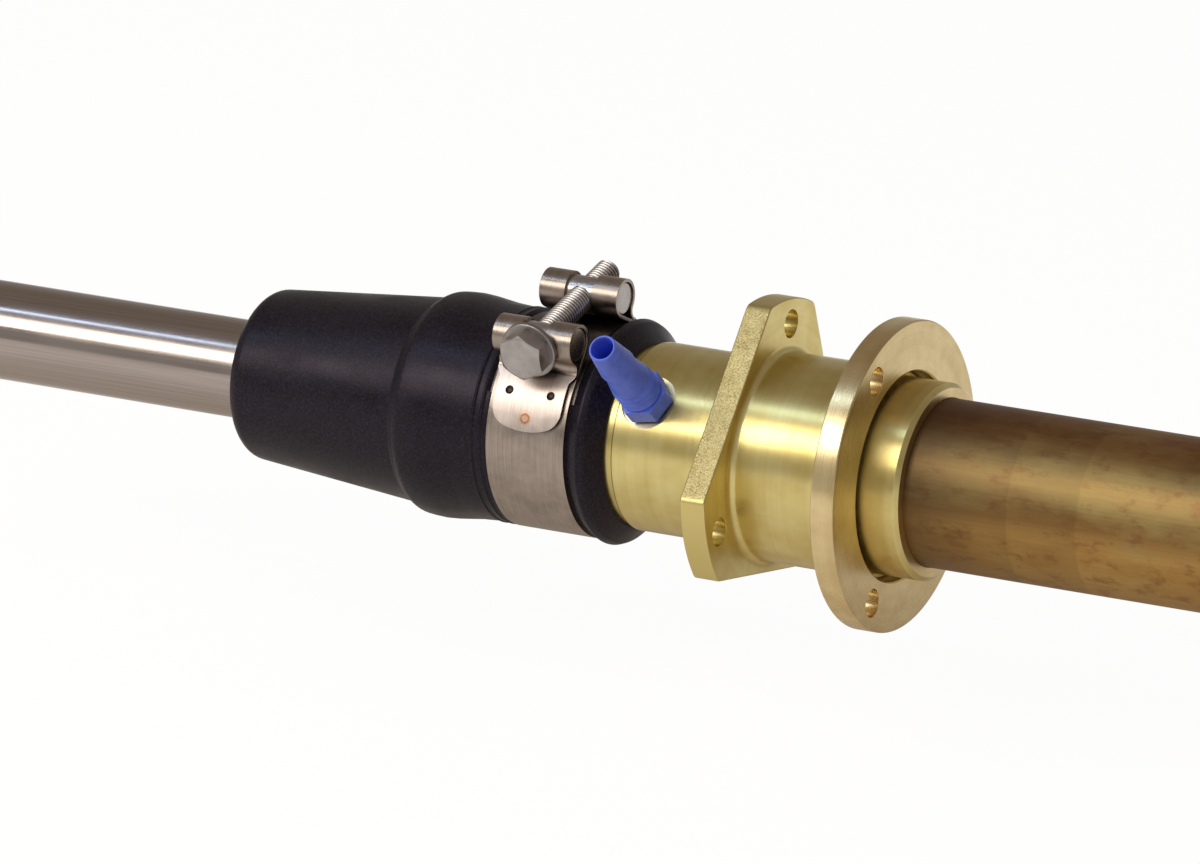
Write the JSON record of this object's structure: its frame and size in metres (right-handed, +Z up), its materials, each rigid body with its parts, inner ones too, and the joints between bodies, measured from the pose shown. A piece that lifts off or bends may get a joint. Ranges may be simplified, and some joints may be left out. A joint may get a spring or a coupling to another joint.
{
  "type": "stuffing box",
  "caption": "Boat shaft's stern gland: a rubber seal boot clamped to a flanged brass casting with a water nipple, a loose backing ring, a stern tube and the shaft that turns in it.",
  "frame": {"origin": "on the shaft's axis, in the aft face of the casting's flange", "axes": "+X along the shaft, aft towards the propeller; +Z up; +Y to the side away from the water nipple"},
  "size_m": [0.472, 0.0989, 0.0934],
  "materials": {
    "shaft_steel": "polished and drawn along its length",
    "boot_rubber": "moulded black rubber with a soft sheen",
    "clamp_steel": "rolled stainless strip, heat-marked at the weld",
    "barrel_steel": "turned and polished",
    "bolt_steel": "cold-formed stainless",
    "cast_brass": "turned brass, its flange's edge as cast",
    "ring_brass": "faced and turned brass",
    "blue_plastic": "moulded blue plastic",
    "seal_washer": "plain sealing washer",
    "tube_brass": "drawn brass tube, tarnished brown",
    "bearing_brass": "machined brass",
    "bearing_rubber": "moulded fluted rubber",
    "screw_steel": "plain stainless"
  },
  "bodies": {
    "housing": {"seal_boot": "boot_rubber", "clamp_band": "clamp_steel", "clamp_bridge": "clamp_steel", "clamp_barrel_plain": "barrel_steel", "clamp_barrel_threaded": "barrel_steel", "clamp_bolt": "bolt_steel", "clamp_bolt_washer": "bolt_steel", "stern_casting": "cast_brass", "hose_nipple": "blue_plastic", "nipple_seal_washer": "seal_washer", "stern_tube": "tube_brass", "inner_bearing_shell": "bearing_brass", "inner_bearing_liner": "bearing_rubber", "inner_bearing_set_screw": "screw_steel", "outer_bearing_shell": "bearing_brass", "outer_bearing_liner": "bearing_rubber", "outer_bearing_set_screws": "screw_steel"},
    "shaft": {"propeller_shaft": "shaft_steel"},
    "ring": {"ring_flange": "ring_brass"}
  },
  "joints": [
    {"name": "shaft_spin", "type": "hinge", "parent": "housing", "child": "shaft", "pos_m": [0, 0, 0], "axis": [1, 0, 0], "continuous": true},
    {"name": "ring_slide", "type": "slide", "parent": "housing", "child": "ring", "axis": [1, 0, 0], "range_m": [-0.031, 0.12]}
  ]
}
